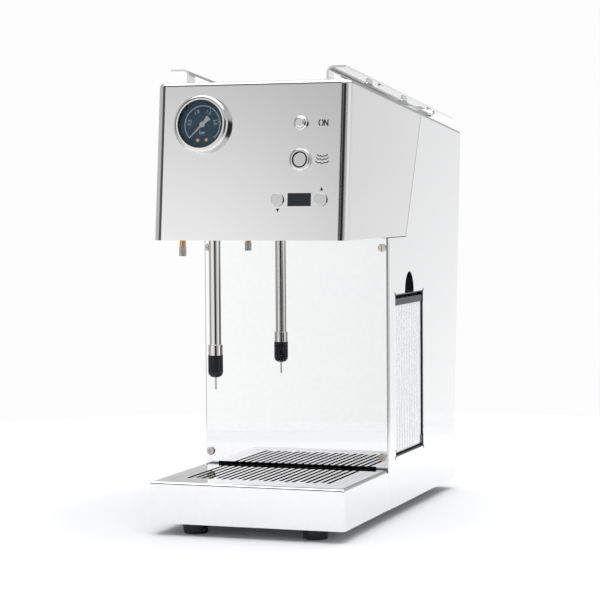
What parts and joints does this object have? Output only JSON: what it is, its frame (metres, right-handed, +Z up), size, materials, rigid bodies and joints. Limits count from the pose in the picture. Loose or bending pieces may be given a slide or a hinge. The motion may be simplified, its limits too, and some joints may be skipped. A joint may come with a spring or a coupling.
{
  "type": "milk-frothing steam machine",
  "caption": "Compact box-shaped countertop steam machine with sloping cup rails, gauge and button panel, ball-jointed steam wand, slide-out drip tray and side water tank",
  "frame": {"origin": "centre of the bounding box's base, on the surface that the feet stand on", "axes": "+Z up, -Y is the front with the gauge and the wand, +X is the side with the water tank"},
  "size_m": [0.19, 0.4148, 0.4322],
  "materials": {
    "satin_steel": "fine vertical brushed satin stainless steel",
    "mirror_steel": "mirror-polished stainless steel",
    "tray_steel": "polished stainless steel sheet with a fine grain",
    "zinc_steel": "zinc-plated sheet steel",
    "bright_steel": "bright turned steel",
    "black_plastic": "black moulded plastic",
    "display_plastic": "dark tinted window",
    "tank_plastic": "frosted translucent moulded plastic",
    "dial_paint": "slate-blue printed dial",
    "pointer_paint": "white painted pointer",
    "clear_glass": "clear flat gauge glass",
    "brass": "turned brass",
    "copper": "drawn copper",
    "rubber": "black rubber",
    "silicone": "translucent silicone hose",
    "board": "green circuit board"
  },
  "bodies": {
    "housing": {"back_plate": "mirror_steel", "boiler": "copper", "boiler_shelf": "zinc_steel", "chassis_plate": "zinc_steel", "control_board": "board", "control_box": "black_plastic", "cup_rail_left": "mirror_steel", "cup_rail_right": "mirror_steel", "display_window": "display_plastic", "drain_nozzle": "bright_steel", "drain_pipe": "silicone", "drain_stem": "brass", "feed_pipe": "copper", "feet": "rubber", "front_hood": "satin_steel", "gauge_bezel": "bright_steel", "gauge_case": "black_plastic", "gauge_dial": "dial_paint", "gauge_glass": "clear_glass", "gauge_movement": "brass", "gauge_pipe": "copper", "heating_element": "bright_steel", "hood_floor": "zinc_steel", "housing_screws": "bright_steel", "power_inlet": "black_plastic", "power_switch": "bright_steel", "pump": "black_plastic", "pump_mounts": "rubber", "rail_screws": "bright_steel", "rear_shell": "satin_steel", "safety_valve": "brass", "steam_light_ring": "black_plastic", "steam_pipe": "copper", "steam_switch": "bright_steel", "steam_valve": "brass", "suction_hose": "silicone", "switch_nuts": "bright_steel", "tank_bay": "black_plastic", "tank_coupling": "black_plastic", "top_plate": "mirror_steel", "tray_seal": "rubber", "wand_nut": "brass", "wand_pipe": "copper", "wand_socket": "brass"},
    "power_button": {"power_button": "bright_steel"},
    "steam_button": {"steam_button": "bright_steel"},
    "down_key": {"down_key": "bright_steel"},
    "up_key": {"up_key": "bright_steel"},
    "pointer": {"gauge_pointer": "pointer_paint"},
    "wand_swivel": {"wand_seat": "silicone"},
    "wand": {"wand_ball": "bright_steel", "wand_tube": "bright_steel", "wand_collar": "bright_steel", "wand_tip": "rubber", "temperature_probe": "bright_steel"},
    "tray": {"drip_tray": "tray_steel"},
    "grille": {"drip_grille": "tray_steel"},
    "tank": {"water_tank": "tank_plastic", "tank_outlet": "tank_plastic"}
  },
  "joints": [
    {"name": "power_press", "type": "slide", "parent": "housing", "child": "power_button", "axis": [0, 0.9947, -0.1029], "range_m": [0, 0.0025], "stiffness_N_per_m": 500},
    {"name": "steam_press", "type": "slide", "parent": "housing", "child": "steam_button", "axis": [0, 0.9947, -0.1029], "range_m": [0, 0.0015], "stiffness_N_per_m": 600},
    {"name": "down_press", "type": "slide", "parent": "housing", "child": "down_key", "axis": [0, 0.9947, -0.1029], "range_m": [0, 0.0012], "stiffness_N_per_m": 500},
    {"name": "up_press", "type": "slide", "parent": "housing", "child": "up_key", "axis": [0, 0.9947, -0.1029], "range_m": [0, 0.0012], "stiffness_N_per_m": 500},
    {"name": "pointer_turn", "type": "hinge", "parent": "housing", "child": "pointer", "pos_m": [-0.0473, -0.18479, 0.37961], "axis": [0, 0.9947, -0.1029], "range_deg": [0, 270], "stiffness_Nm_per_rad": 0.002},
    {"name": "wand_turn", "type": "hinge", "parent": "housing", "child": "wand_swivel", "pos_m": [-0.0473, -0.1591, 0.2847], "axis": [0, 0, 1], "range_deg": [-90, 90]},
    {"name": "wand_tilt", "type": "hinge", "parent": "wand_swivel", "child": "wand", "pos_m": [-0.0473, -0.1591, 0.2847], "axis": [1, 0, 0], "range_deg": [-20, 20]},
    {"name": "tray_slide", "type": "slide", "parent": "housing", "child": "tray", "axis": [0, -1, 0], "range_m": [0, 0.13]},
    {"name": "grille_lift", "type": "slide", "parent": "tray", "child": "grille", "axis": [0, 0, 1], "range_m": [0, 0.04]},
    {"name": "tank_slide", "type": "slide", "parent": "housing", "child": "tank", "axis": [1, 0, 0], "range_m": [0, 0.15]}
  ]
}
